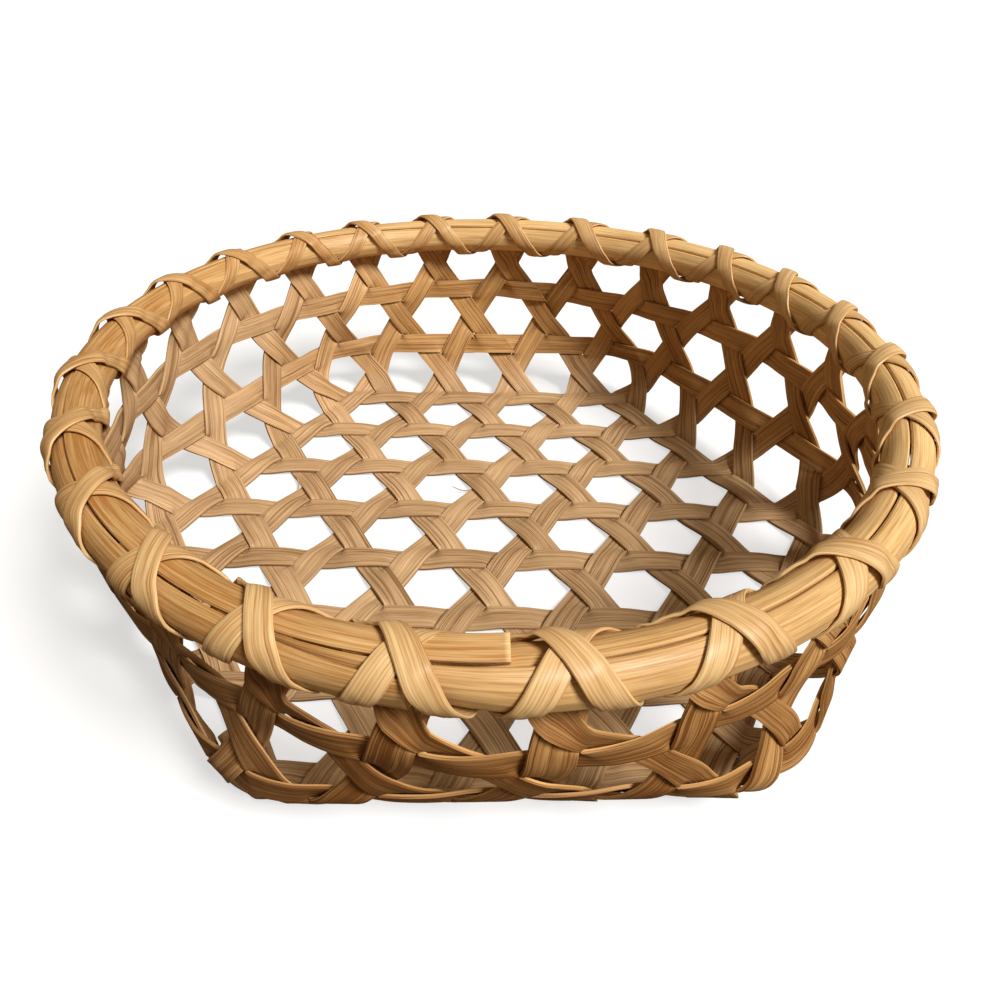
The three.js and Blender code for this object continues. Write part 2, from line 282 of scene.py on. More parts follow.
def strip_path(left, right, offset):
    """A flat strip between two edge lines: its centre, half-width, face and curl vectors."""
    left_points, left_normals = place(left, offset)
    right_points, right_normals = place(right, offset)
    left_points, right_points = settle(left_points), settle(right_points)
    centre, edge = (left_points + right_points) / 2, (right_points - left_points) / 2
    face = unit(np.cross(edge, np.gradient(centre, axis=0)))
    inward = np.sign(np.sum(face * (left_normals + right_normals), axis=-1, keepdims=True))
    return centre, edge, face * inward, 0 * centre


def skewed(spot_at, along, slant):
    """Both edge lines of a splint, whose sections slant to lie along the splints that it crosses."""
    edge = SPLINT_WIDTH / 2
    skew = slant * edge / ROOT3
    left = spot_at(along - skew, np.full_like(along, edge))
    right = spot_at(along + skew, np.full_like(along, -edge))
    return left, right


def add_node(tree, kind, values=None, **settings):
    node = tree.nodes.new(kind)
    for name, value in settings.items():
        setattr(node, name, value)
    for name, value in (values or {}).items():
        if isinstance(value, bpy.types.NodeSocket):
            tree.links.new(value, node.inputs[name])
        else:
            node.inputs[name].default_value = value
    return node


SWEEP_SOCKETS = {
    "Geometry": "NodeSocketGeometry",
    "Width": "NodeSocketFloat",
    "Thickness": "NodeSocketFloat",
    "Flatness": "NodeSocketFloat",
    "Corner": "NodeSocketFloat",
    "Half Round": "NodeSocketFloat",
    "Section Points": "NodeSocketInt",
    "Waver": "NodeSocketFloat",
    "Waver Length": "NodeSocketFloat",
    "Flute": "NodeSocketFloat",
    "Flute Count": "NodeSocketFloat",
    "Seed": "NodeSocketFloat",
    "Tone": "NodeSocketFloat",
    "Lines": "NodeSocketFloat",
    "Material": "NodeSocketMaterial",
}
OUTLINE_POINTS = 96
WAVER_ACROSS = 0.6
WAVER_DETAIL = 2.0
FLUTE_ALONG = 6.0
FLUTE_SIDES = 3.0
FLUTE_DETAIL = 1.0
SMOOTH_UNDER = 0.6


def sweep_tree():
    """Sweeps a rounded section along a path. The path's points carry the half-width vector edge, the
    unit vector face, and curl, by which the section's edges bend away from a flat strip."""
    tree = bpy.data.node_groups.new("Sweep", "GeometryNodeTree")
    tree.interface.new_socket("Geometry", in_out="OUTPUT", socket_type="NodeSocketGeometry")
    for name, kind in SWEEP_SOCKETS.items():
        tree.interface.new_socket(name, in_out="INPUT", socket_type=kind)
    given = tree.nodes.new("NodeGroupInput").outputs

    def made(kind, values, **settings):
        return add_node(tree, kind, values, **settings).outputs[0]

    def maths(operation, a, b=0.0):
        return made("ShaderNodeMath", {0: a, 1: b}, operation=operation)

    def scaled(vector, factor):
        return made("ShaderNodeVectorMath", {0: vector, "Scale": factor}, operation="SCALE")

    def plus(a, b):
        return made("ShaderNodeVectorMath", {0: a, 1: b}, operation="ADD")

    def joined(x, y, z=0.0):
        return made("ShaderNodeCombineXYZ", {0: x, 1: y, 2: z})

    def parted(vector):
        return add_node(tree, "ShaderNodeSeparateXYZ", {0: vector}).outputs

    def named(name, kind="FLOAT_VECTOR"):
        return made("GeometryNodeInputNamedAttribute", {"Name": name}, data_type=kind)

    def stored(geometry, name, value, kind="FLOAT_VECTOR"):
        values = {"Geometry": geometry, "Name": name, "Value": value}
        return made("GeometryNodeStoreNamedAttribute", values, data_type=kind)

    def uneven(spot, detail, reach):
        """Noise that goes up to reach to either side of nothing."""
        noise = add_node(tree, "ShaderNodeTexNoise", {"Vector": spot, "Scale": 1.0, "Detail": detail})
        return maths("MULTIPLY", maths("SUBTRACT", noise.outputs["Fac"], 0.5), maths("MULTIPLY", reach, 2.0))

    def rounded(value):
        size = maths("POWER", maths("ABSOLUTE", value), given["Corner"])
        return maths("MULTIPLY", size, maths("SIGN", value))

    path = made("GeometryNodeMeshToCurve", {"Mesh": given["Geometry"]})
    ring = made("GeometryNodeCurvePrimitiveCircle", {"Resolution": OUTLINE_POINTS, "Radius": 1.0})
    x, y, _ = parted(made("GeometryNodeInputPosition", {}))
    outline = joined(rounded(x), maths("MULTIPLY", rounded(y), given["Flatness"]))
    ring = made("GeometryNodeSetPosition", {"Geometry": ring, "Position": outline})
    ring = made("GeometryNodeResampleCurve", {"Curve": ring, "Count": given["Section Points"]})
    x, y, _ = parted(made("GeometryNodeInputPosition", {}))
    ring = stored(ring, "section", joined(x, maths("DIVIDE", y, given["Flatness"])))
    body = made("GeometryNodeCurveToMesh", {"Curve": path, "Profile Curve": ring, "Fill Caps": True})

    across, rise, _ = parted(named("section"))
    along = named("along", "FLOAT")
    wander = joined(
        maths("DIVIDE", along, given["Waver Length"]),
        maths("ADD", maths("MULTIPLY", across, WAVER_ACROSS), given["Seed"]),
        maths("MULTIPLY", rise, WAVER_ACROSS),
    )
    swell = maths("ADD", uneven(wander, WAVER_DETAIL, given["Waver"]), 1.0)
    flutes = joined(
        maths("MULTIPLY", along, FLUTE_ALONG),
        maths("MULTIPLY", across, given["Flute Count"]),
        maths("ADD", given["Seed"], maths("MULTIPLY", rise, FLUTE_SIDES)),
    )
    groove = uneven(flutes, FLUTE_DETAIL, given["Flute"])
    half = maths("MULTIPLY", given["Thickness"], 0.5)
    outer_side = maths("MULTIPLY", across, maths("SIGN", given["Half Round"]))
    depth = maths("MULTIPLY", maths("ADD", outer_side, 1.0), 0.5)
    fall = maths("MULTIPLY", maths("MULTIPLY", depth, depth), maths("ABSOLUTE", given["Half Round"]))
    height = maths("MULTIPLY", half, maths("SQRT", maths("SUBTRACT", 1.0, fall)))
    wide = scaled(named("edge"), maths("MULTIPLY", across, swell))
    lift = maths("MULTIPLY", rise, maths("ADD", maths("MULTIPLY", height, swell), groove))
    curl = scaled(named("curl"), maths("MULTIPLY", across, across))
    place_at = plus(plus(named("centre"), curl), plus(wide, scaled(named("face"), lift)))
    body = made("GeometryNodeSetPosition", {"Geometry": body, "Position": place_at})
    reach = maths("MULTIPLY", given["Width"], 0.5)
    grain = joined(
        maths("ADD", along, given["Seed"]),
        maths("ADD", maths("MULTIPLY", across, reach), given["Seed"]),
        maths("MULTIPLY", rise, half),
    )
    body = stored(body, "grain", grain)
    body = stored(body, "tone", given["Tone"], "FLOAT")
    body = stored(body, "lines", given["Lines"], "FLOAT")
    bend = add_node(tree, "GeometryNodeInputMeshEdgeAngle").outputs["Unsigned Angle"]
    shading = {"Geometry": body, "Shade Smooth": maths("LESS_THAN", bend, SMOOTH_UNDER)}
    body = made("GeometryNodeSetShadeSmooth", shading, domain="EDGE")
    body = made("GeometryNodeRealizeInstances", {"Geometry": body})
    body = made("GeometryNodeSetMaterial", {"Geometry": body, "Material": given["Material"]})
    tree.links.new(body, tree.nodes.new("NodeGroupOutput").inputs[0])
    return tree


SWEEP = sweep_tree()
SWEEP_INPUTS = {item.name: item.identifier for item in SWEEP.interface.items_tree if item.in_out == "INPUT"}


def swept(name, path, **sizes):
    """One piece: a path in millimetres with its edge, face and curl vectors, swept into a plain mesh."""
    centre, edge, face, curl = path
    steps = np.linalg.norm(np.diff(centre, axis=0), axis=1)
    along = np.concatenate([[0], np.cumsum(steps)])
    line = bpy.data.meshes.new(name + "_path")
    line.from_pydata(centre * MM, [(i, i + 1) for i in range(len(centre) - 1)], [])
    for label, kind, field, values in (
        ("centre", "FLOAT_VECTOR", "vector", centre * MM),
        ("edge", "FLOAT_VECTOR", "vector", edge * MM),
        ("face", "FLOAT_VECTOR", "vector", face),
        ("curl", "FLOAT_VECTOR", "vector", curl * MM),
        ("along", "FLOAT", "value", along * MM),
    ):
        carried = line.attributes.new(label, kind, "POINT")
        carried.data.foreach_set(field, np.ravel(values).astype(np.float32))
    carrier = bpy.data.objects.new(name + "_path", line)
    bpy.context.scene.collection.objects.link(carrier)
    modifier = carrier.modifiers.new("Sweep", "NODES")
    modifier.node_group = SWEEP
    for label, value in sizes.items():
        modifier[SWEEP_INPUTS[label.replace("_", " ").title()]] = value
    shown = carrier.evaluated_get(bpy.context.evaluated_depsgraph_get())
    mesh = bpy.data.meshes.new_from_object(shown)
    mesh.name = name
    # Where edge, face and the way along are left-handed, the swept faces point inward and are turned.
    if np.sum(np.cross(edge, face) * np.gradient(centre, axis=0)) < 0:
        mesh.flip_normals()
    piece = bpy.data.objects.new(name, mesh)
    bpy.context.scene.collection.objects.link(piece)
    bpy.data.objects.remove(carrier)
    bpy.data.meshes.remove(line)
    return piece


# The wood's marks: how finely each noise is drawn along, across and through a strip, the range of a value
# that counts, and how much it lightens or darkens the wood. Places on the basket are in metres.
FINE_FIBRES = (60, 2600, 2100)
FIBRE_DETAIL = 3.0
FIBRE_RANGE = (0.42, 0.66)
FIBRE_DARKENS = 0.4
PORES = (4, 1750, 1300)
PORE_DETAIL = 1.0
PORE_RANGE = (0.55, 0.65)
PORE_DARKENS = 0.6
STREAKS = (4, 900, 600)
STREAK_RANGE = (0.3, 0.7)
CLOUDS = (26, 90, 50)
CLOUD_LIGHTENS = 0.5
TONE_LIGHTENS = 0.42
CUT_END_RANGE = (0.0012, 0.0003)
CUT_END_LIGHTENS = 0.5
# Pale edges: partly the split wood's own pale edge, partly a painted highlight.
PALE_EDGE_AND_HIGHLIGHT_RANGE = (0.95, 1.0)
PALE_EDGE_AND_HIGHLIGHT_LIGHTENS = 0.12
# How much darker the wood gets towards one side of the basket.
DARKER_TOWARD_RANGE = (-0.07, 0.11)
DARKER_TOWARD_AMOUNT = 0.5
# Painted light on the upper wall: the heights it grows over, and how much it lightens.
UPPER_WALL_LIGHT_RANGE = (0.03, 0.06)
UPPER_WALL_PAINTED_LIGHT = 0.16
# Painted shade on the splints' outer faces: which face takes it, and how far across the basket it reaches.
OUTER_FACE_RANGE = (0.1, -0.1)
PAINTED_SHADE_SIDE_RANGE = (0.2, 0.0)
PAINTED_SHADE_DARKENS = 0.42
BASE_HEIGHT_RANGE = (0.022, 0.002)
PALE_SIDE_RANGE = (-0.03, -0.11)
GRAIN_ROUGHNESS = 0.6
WOOD_SHEEN = 0.35
GRAIN_STRENGTH = 0.3
GRAIN_DEPTH = 0.00025


def wood(name, dark, light, streaked, roughness, base_dark=None, base_light=None, darker_toward=None):
    """Bare split wood: broad streaks and fine dark pores along the strip, and pale edges, partly the split
    wood's own and partly a painted highlight.
    """
    material = bpy.data.materials.new(name)
    material.use_nodes = True
    tree = material.node_tree
    shader = tree.nodes["Principled BSDF"]

    def attribute(label, output):
        return add_node(tree, "ShaderNodeAttribute", attribute_name=label).outputs[output]

    def noise(scale, detail=2.0):
        stretched = add_node(tree, "ShaderNodeMapping", {"Vector": grain, "Scale": scale}).outputs[0]
        values = {"Vector": stretched, "Scale": 1.0, "Detail": detail, "Roughness": GRAIN_ROUGHNESS}
        return add_node(tree, "ShaderNodeTexNoise", values).outputs["Fac"]

    def maths(operation, a, b=0.0):
        return add_node(tree, "ShaderNodeMath", {0: a, 1: b}, operation=operation).outputs[0]

    def spread(value, low, high):
        values = {"Value": value, "From Min": low, "From Max": high}
        return add_node(tree, "ShaderNodeMapRange", values).outputs["Result"]

    def lightened(shade, value, weight):
        return maths("ADD", shade, maths("MULTIPLY", value, weight))

    def darkened(shade, value, weight):
        return maths("SUBTRACT", shade, maths("MULTIPLY", value, weight))

    def parted(vector):
        return add_node(tree, "ShaderNodeSeparateXYZ", {0: vector}).outputs

    def blend(factor, a, b):
        values = {"Factor": factor, 6: a, 7: b}
        return add_node(tree, "ShaderNodeMix", values, data_type="RGBA").outputs[2]

    grain = attribute("grain", "Vector")
    across, rise, _ = parted(attribute("section", "Vector"))
    spot = add_node(tree, "ShaderNodeTexCoord").outputs["Object"]
    fibres = noise(FINE_FIBRES, FIBRE_DETAIL)
    pores = maths("MULTIPLY", spread(noise(PORES, PORE_DETAIL), *PORE_RANGE), attribute("lines", "Fac"))
    shade = maths("MULTIPLY", spread(noise(STREAKS), *STREAK_RANGE), streaked)
    shade = lightened(shade, noise(CLOUDS), CLOUD_LIGHTENS)
    shade = lightened(shade, attribute("tone", "Fac"), TONE_LIGHTENS)
    shade = darkened(shade, spread(fibres, *FIBRE_RANGE), FIBRE_DARKENS)
    shade = darkened(shade, pores, PORE_DARKENS)
    shade = lightened(shade, spread(attribute("along", "Fac"), *CUT_END_RANGE), CUT_END_LIGHTENS)
    # Pale edges, partly the split wood's own pale edge and partly a painted highlight where the edges catch
    # the light.
    shade = lightened(shade, spread(maths("ABSOLUTE", across), *PALE_EDGE_AND_HIGHLIGHT_RANGE), PALE_EDGE_AND_HIGHLIGHT_LIGHTENS)
    # Darker towards one side of the basket: the farther a place lies along the given direction, the darker
    # the wood.
    if darker_toward:
        values = {0: spot, 1: darker_toward}
        facing = add_node(tree, "ShaderNodeVectorMath", values, operation="DOT_PRODUCT").outputs["Value"]
        shade = darkened(shade, spread(facing, *DARKER_TOWARD_RANGE), DARKER_TOWARD_AMOUNT)
    if base_light:
        side, _, height = parted(spot)
        # Painted light: the wall is painted lighter from 3 cm up to 6 cm high.
        shade = lightened(shade, spread(height, *UPPER_WALL_LIGHT_RANGE), UPPER_WALL_PAINTED_LIGHT)
        # Painted shade: the splints' outer faces are darkened, in full on the left half and fading out
        # towards the right.
        painted_outer_shade = maths("MULTIPLY", spread(rise, *OUTER_FACE_RANGE), spread(side, *PAINTED_SHADE_SIDE_RANGE))
        shade = darkened(shade, painted_outer_shade, PAINTED_SHADE_DARKENS)
        low = maths("MAXIMUM", spread(height, *BASE_HEIGHT_RANGE), spread(side, *PALE_SIDE_RANGE))
        colour = blend(low, blend(shade, dark, light), blend(shade, base_dark, base_light))
    else:
        colour = blend(shade, dark, light)
    tree.links.new(colour, shader.inputs["Base Color"])
    shader.inputs["Roughness"].default_value = roughness
    shader.inputs["Specular IOR Level"].default_value = WOOD_SHEEN
    relief = {"Height": maths("SUBTRACT", fibres, pores), "Strength": GRAIN_STRENGTH, "Distance": GRAIN_DEPTH}
    tree.links.new(add_node(tree, "ShaderNodeBump", relief).outputs[0], shader.inputs["Normal"])
    return material


SPLINT_WOOD = wood(
    "Splint wood",
    dark=(0.2, 0.072, 0.012, 1),
    light=(0.82, 0.48, 0.185, 1),
    streaked=0.32,
    roughness=0.6,
    base_dark=(0.24, 0.125, 0.048, 1),
    base_light=(0.8, 0.54, 0.3, 1),
)
SPLINT_LOOK = dict(
    width=SPLINT_WIDTH * MM,
    thickness=SPLINT_THICKNESS * MM,
    flatness=0.12,
    corner=0.1,
    section_points=44,
    waver=0.02,
    waver_length=0.03,
    flute=0.00005,
    flute_count=9.0,
    half_round=0.0,
    material=SPLINT_WOOD,
)
BASE_CROWN = np.array([0.2, 0.9])
WALL_CROWN = 0.7
SPRING = (0.4, 1.2, 0.7)
CROWN_SPREAD = (0.6, 1.3)
SPLINT_TUCK = 8.6
TUCK_SPREAD = (-0.5, 1.6)
TUCK_SHARES = np.array([1, 0.75, 0.5, 0.25])
TUCK_STEPS = len(TUCK_SHARES)
SPLINT_LINES = (0.6, 0.75, 1.0)
LINES_SPREAD = (0.7, 1)
TONE_SPREAD = (0.35, 0.85)
SEED_SPREAD = (0, 40)
HAND_SEED = 7
chance = np.random.default_rng(HAND_SEED)
woven = {}

for heading, direction in enumerate(("cross", "rising", "falling")):
    for row in range(-SIDE_OPENINGS, SIDE_OPENINGS):

        def spot_at(along, across, heading=heading, row=row):
            return splint_spot(heading, row, along, across)

        def reach(v, row=row):
            return (v - abs(row + 0.5) / 2) * OPENING_PITCH

        last = round(reach(LAST_ROW) / CROSSING_PITCH - 0.5)
        rim_reach = reach(row_at(RIM_AT))
        centres = (np.arange(-last - 1, last + 1) + 0.5) * CROSSING_PITCH
        overs = [over_at(row + index) for index in range(-last - 1, last + 1)]
        rows_out = spot_at(centres, 0 * centres)[2]
        uppermost = (np.array(overs) > 0).astype(int)
        crowns = np.where(rows_out > SIDE_OPENINGS, WALL_CROWN, SPRING[heading] * BASE_CROWN[uppermost])
        crowns = crowns * chance.uniform(*CROWN_SPREAD, len(crowns))
        ends = (-rim_reach, over_at(row - last - 2), 0, 0), (rim_reach, over_at(row + last + 1), 0, 0)
        along, slant, offset = weave_line(centres, overs, crowns, ends)
        left, right = skewed(spot_at, along, slant)
        climb = (SPLINT_TUCK + chance.uniform(*TUCK_SPREAD)) * TUCK_SHARES

        def tucked(spot, climb=climb):
            """An edge line with both its ends carried on straight up between the rods."""
            side, u, v = spot
            start = row_at(distance_to(v[0]) + climb)
            end = row_at(distance_to(v[-1]) + climb[::-1])
            side, u = np.pad(side, TUCK_STEPS, mode="edge"), np.pad(u, TUCK_STEPS, mode="edge")
            return side, u, np.concatenate([start, v, end])

        name = f"{direction}_splint_{row + SIDE_OPENINGS + 1}"
        path = woven[name] = strip_path(tucked(left), tucked(right), np.pad(offset, TUCK_STEPS))
        lines = SPLINT_LINES[heading] * chance.uniform(*LINES_SPREAD)
        seed = chance.uniform(*SEED_SPREAD)
        tone = chance.uniform(*TONE_SPREAD)
        piece = swept(name + "_woven", path, seed=seed, tone=tone, lines=lines, **SPLINT_LOOK)
        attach(piece, "root")
        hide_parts(name)

# Wall hoops
# Two more splints of the same wood, each woven once round the wall, over and under the splints that
# climb it. A hoop closes by lapping its end over its own start, and only the weave holds it there.
HOOP_CROWN = 0.35
HOOP_END = 2.2
HOOP_LAP_GAP = 0.25
HOOP_TONE = 0.5
HOOP_LINES = 0.5
for index in range(WALL_HOOPS):
    row = SIDE_OPENINGS + index

    def hoop_spot(along, across, row=row):
        return np.zeros_like(along), along / OPENING_PITCH, row + 0.5 + across / ROW_PITCH

    steps = np.arange(row % 2, row % 2 + 2 * ROUND_OPENINGS + 1)
    centres = (steps + 0.5) * CROSSING_PITCH
    overs = [over_at(row + step) for step in steps]
    edge_at = CROSSING_HALF + HOOP_END
    ends = (
        (centres[0] - edge_at, overs[0], overs[0] * LAYER_OFFSET, 0),
        (centres[-1] + edge_at, overs[-1], overs[-1] * LAYER_OFFSET, 0),
    )
    crowns = HOOP_CROWN * chance.uniform(*CROWN_SPREAD, len(steps))
    along, slant, offset = weave_line(centres, overs, crowns, ends)
    lap_run = CROSSING_PITCH - 2 * CROSSING_HALF
    lap = np.clip((along - centres[-2] - CROSSING_HALF) / lap_run, 0, 1)
    offset = offset + lap * (SPLINT_THICKNESS + HOOP_LAP_GAP)
    path = strip_path(*skewed(hoop_spot, along, slant), offset)
    name = f"wall_hoop_{index + 1}"
    seed = chance.uniform(*SEED_SPREAD)
    piece = swept(name + "_woven", path, seed=seed, tone=HOOP_TONE, lines=HOOP_LINES, **SPLINT_LOOK)
    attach(piece, "root")
    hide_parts(name)

# Loose fibres
# Hair-thin slivers that have lifted from the splints' edges. Each is still rooted in the splint it split
# from, and its free end curls out over an opening.
FIBRE_WIDTH = 0.6
FIBRE_POINTS = 24
FIBRE_BOW = 0.12
FIBRE_TAPER = 0.6
FIBRE_ROOT_ACROSS = 0.92
FIBRE_ROOT_UP = 0.3
FIBRE_SEED_STEP = 3.0
FIBRE_LOOK = dict(
    width=FIBRE_WIDTH * MM,
    thickness=FIBRE_WIDTH * MM,
    flatness=1.0,
    corner=1.0,
    half_round=0.0,
    section_points=8,
    waver=0.1,
    waver_length=0.004,
    flute=0.0,
    flute_count=1.0,
    tone=0.5,
    lines=0.0,
    material=SPLINT_WOOD,
)
FIBRES = (
    ("rising_splint_5", 23, (-8, 8), 1.0),
    ("cross_splint_5", -33, (-9.6, -7.6), 1.5),
    ("falling_splint_6", -40, (6, 7), 1.5),
    ("cross_splint_3", 20, (7, -5), 1.2),
    ("rising_splint_7", -10, (5, 8), 2.0),
)
for index, (name, place_along, (forward, leftward), lift) in enumerate(FIBRES):
    centre, edge, face, _ = woven[name]
    run = np.cumsum(np.linalg.norm(np.diff(centre, axis=0), axis=1))
    at = np.searchsorted(run, run[-1] / 2 + place_along)
    ahead, left = unit(centre[at + 1] - centre[at]), -unit(edge[at])
    root = centre[at] - np.sign(leftward) * edge[at] * FIBRE_ROOT_ACROSS
    root = root + face[at] * SPLINT_THICKNESS * FIBRE_ROOT_UP
    share = np.linspace(0, 1, FIBRE_POINTS)[:, None]
    bow = FIBRE_BOW * np.sin(np.pi * share)
    points = root + ahead * forward * (share + bow)
    points = points + left * leftward * (share - bow)
    points = points + face[at] * lift * eased(share)
    onward = np.gradient(points, axis=0)
    aside = unit(np.cross(onward, face[at]))
    taper = 1 - FIBRE_TAPER * share
    path = points, aside * FIBRE_WIDTH / 2 * taper, unit(np.cross(aside, onward)) * taper, 0 * points
    piece = swept(f"loose_fibre_{index + 1}", path, seed=FIBRE_SEED_STEP * index, **FIBRE_LOOK)
    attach(piece, "root")

# Rim rods
# Two half-round rods of the same wood bent into rings, one inside and one outside the splint ends with
# their flat sides to them. Each ring is lapped: a blunt cut end lies on the shaved-down other end.
ROD_HEIGHT = 2 * RIM_HALF_HEIGHT
ROD_THICKNESS = 6
ROD_CLAMP = 0.65
ROD_ROUND = 0.93
ROD_CLOSING = 0.58
LAP_LENGTH = 45
LAP_RUN_IN = 0.5
LAP_STEP_LENGTH = 0.02
LAP_STEP_ABOVE = 0.04
LAP_STEP_BELOW = 0.02
LAP_TIP = 0.05
RIM_STEPS = 400
OPENING_LENGTH = 2 * np.pi * RIM_OUT / ROUND_OPENINGS


def rim_point(openings, across, rise):
    """A place in the rim: openings round it, then across and up its leaning section."""
    radius = RIM_OUT + rise * np.cos(RIM_LEAN) - across * np.sin(RIM_LEAN)
    up = RIM_UP + rise * np.sin(RIM_LEAN) + across * np.cos(RIM_LEAN)
    heading = np.pi / 2 - openings / ROUND_OPENINGS * 2 * np.pi
    return settle(np.stack([radius * np.cos(heading), radius * np.sin(heading), BASE_LIFT + up], -1))


ROD_WOOD = wood(
    "Rim rod wood",
    dark=(0.42, 0.19, 0.05, 1),
    light=(0.97, 0.68, 0.32, 1),
    streaked=0.26,
    roughness=0.42,
    darker_toward=(-0.8, -0.4, 0),
)
ROD_LOOK = dict(
    width=ROD_THICKNESS * MM,
    thickness=ROD_HEIGHT * MM,
    flatness=ROD_HEIGHT / ROD_THICKNESS,
    corner=0.16,
    half_round=ROD_ROUND,
    section_points=56,
    waver=0.03,
    waver_length=0.05,
    flute=0.00012,
    flute_count=3.0,
    tone=1.0,
    lines=0.25,
    material=ROD_WOOD,
)
for name, inward, cut_at, shaved, on_top in (
    ("rim_inner_rod", 1, 11.6, 0.82, True),
    ("rim_outer_rod", -1, 12.2, 0.55, False),
):
    lap = LAP_LENGTH / OPENING_LENGTH
    along = np.linspace(0, ROUND_OPENINGS + lap, RIM_STEPS + 1)
    past = along - ROUND_OPENINGS
    # The blunt end starts at the shaved share of the section, and the other end runs out under it.
    near = np.where(along < lap, shaved * (1 - along / lap), 0)
    far_places = [-LAP_RUN_IN * lap, -LAP_STEP_LENGTH, 0, lap]
    far = np.interp(past, far_places, [1, shaved + LAP_STEP_ABOVE, shaved - LAP_STEP_BELOW, LAP_TIP])
    none, whole = np.zeros_like(along), np.ones_like(along)
    back, front, low, high = (none, whole, near, far) if on_top else (near, far, none, whole)
    middle = RIM_HALF_HEIGHT * (low + high)
    flat = rim_point(cut_at + along, inward * (ROD_CLAMP + ROD_THICKNESS * back), middle)
    crest = rim_point(cut_at + along, inward * (ROD_CLAMP + ROD_THICKNESS * front), middle)
    above = rim_point(cut_at + along, inward * (ROD_CLAMP - ROD_CLOSING) * whole, ROD_HEIGHT * whole)
    below = rim_point(cut_at + along, inward * (ROD_CLAMP + ROD_CLOSING) * whole, none)
    upward = unit(above - below) * (high - low)[:, None]
    path = (flat + crest) / 2, (crest - flat) / 2, upward, 0 * flat
    piece = swept(name + "_shaved", path, seed=chance.uniform(*SEED_SPREAD), **ROD_LOOK)
    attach(piece, "root")
    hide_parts(name)

# Lashings
# Two flat strips, thinner than the splints, wound round the whole rim in opposite directions with one
# turn for each opening, so that they cross on top of the rim and again in the opening under it.
LASH_WIDTH = 6.1
LASH_THICKNESS = 1.0
LASH_CLEARANCE = 0.1
LASH_START = 12.02
LASH_TURNS = 23.96
LASH_STEPS = 64
LASH_LEAN = ((1, 0.075, 25),)
LASH_LOW = 0.08
LASH_DRIFT = ((0, -0.02, 0), (1, 0.06, 60))
LASH_UNEVEN = 0.04
LASH_SEED = 3
LASH_RISE = (0.42, 0.78)
LASH_PROBE = 0.5
HULL_DEPTHS = 200
HULL_FACINGS = 1441
LASH_WOOD = wood(
    "Lashing wood",
    dark=(0.40, 0.17, 0.04, 1),
    light=(1.0, 0.74, 0.38, 1),
    streaked=0.24,
    roughness=0.42,
    darker_toward=(-0.3, 0.2, 0),
)
LASH_LOOK = dict(
    width=LASH_WIDTH * MM,
    thickness=LASH_THICKNESS * MM,
    flatness=0.15,
    corner=0.55,
    half_round=0.0,
    section_points=36,
    waver=0.04,
    waver_length=0.03,
    flute=0.00007,
    flute_count=5.0,
    tone=0.86,
    lines=0.3,
    material=LASH_WOOD,
)
lash_slips = np.random.default_rng(LASH_SEED).uniform(-LASH_UNEVEN, LASH_UNEVEN, ROUND_OPENINGS)
lash_spots = np.arange(ROUND_OPENINGS) + 0.5


def rim_hull():
    """The line that a strip pulled tight round the two rods follows, in the rim's section."""
    depth = np.linspace(0, 1, HULL_DEPTHS)
    height = RIM_HALF_HEIGHT * np.sqrt(1 - ROD_ROUND * depth**2)
    side = ROD_CLAMP + ROD_THICKNESS * depth
    rises = (RIM_HALF_HEIGHT - height, RIM_HALF_HEIGHT + height)
    cloud = np.concatenate([np.stack([sign * side, rise], -1) for sign in (-1, 1) for rise in rises])
    facing = np.linspace(-np.pi / 2, 3 * np.pi / 2, HULL_FACINGS)
    normals = np.stack([np.cos(facing), np.sin(facing)], -1)
    touched = cloud[np.argmax(normals @ cloud.T, axis=1)]
    touched = touched + normals * (LASH_THICKNESS / 2 + LASH_CLEARANCE)
    run = np.concatenate([[0], np.cumsum(np.linalg.norm(np.diff(touched, axis=0), axis=1))])
    return run[-1], run / run[-1], touched, normals


HULL_LENGTH, HULL_RUN, HULL_POINTS, HULL_NORMALS = rim_hull()


def on_hull(share, stand):
    """Across and up the rim's section, a share of the way round the hull and standing off it."""
    share = share % 1
    point = np.stack([np.interp(share, HULL_RUN, HULL_POINTS[:, i]) for i in (0, 1)], -1)
    normal = unit(np.stack([np.interp(share, HULL_RUN, HULL_NORMALS[:, i]) for i in (0, 1)], -1))
    return point + normal * stand[:, None]


def lash_point(turn, share, stand):
    """A place on the rim after so many turns, with the crossings leaned over and slipped by hand."""
    heading = turn / ROUND_OPENINGS * 2 * np.pi
    lean = bends(LASH_LEAN, heading)
    share = share + (LASH_LOW + lean) / 2 + (LASH_LOW - lean) / 2 * np.cos(2 * np.pi * share)
    section = on_hull(share, stand)
    slip = bends(LASH_DRIFT, heading) + np.interp(turn, lash_spots, lash_slips, period=ROUND_OPENINGS)
    return rim_point(turn - WALL_TWIST + slip, section[:, 0], section[:, 1])


for name, way, over in (("under_lashing", 1, 0), ("over_lashing", -1, 1)):
    turn = np.linspace(LASH_START, LASH_START + LASH_TURNS, ROUND_OPENINGS * LASH_STEPS)
    share = way * turn
    near = np.abs(np.sin((way * turn * 2 - 0.5) * np.pi))
    stand = over * ramp(near, *LASH_RISE) * (LASH_THICKNESS + LASH_CLEARANCE)
    slope = np.hypot(OPENING_LENGTH, HULL_LENGTH)
    aside = LASH_WIDTH / 2 * HULL_LENGTH / slope / OPENING_LENGTH
    around = -way * LASH_WIDTH / 2 * OPENING_LENGTH / slope / HULL_LENGTH
    at = lash_point(turn, share, stand)
    near_edge = lash_point(turn - aside, share - around, stand)
    far_edge = lash_point(turn + aside, share + around, stand)
    outward = unit(lash_point(turn, share, stand + LASH_PROBE) - lash_point(turn, share, stand - LASH_PROBE))
    path = at, (far_edge - near_edge) / 2, outward, (far_edge + near_edge) / 2 - at
    piece = swept(name + "_wound", path, seed=chance.uniform(*SEED_SPREAD), **LASH_LOOK)
    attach(piece, "root")
    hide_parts(name)

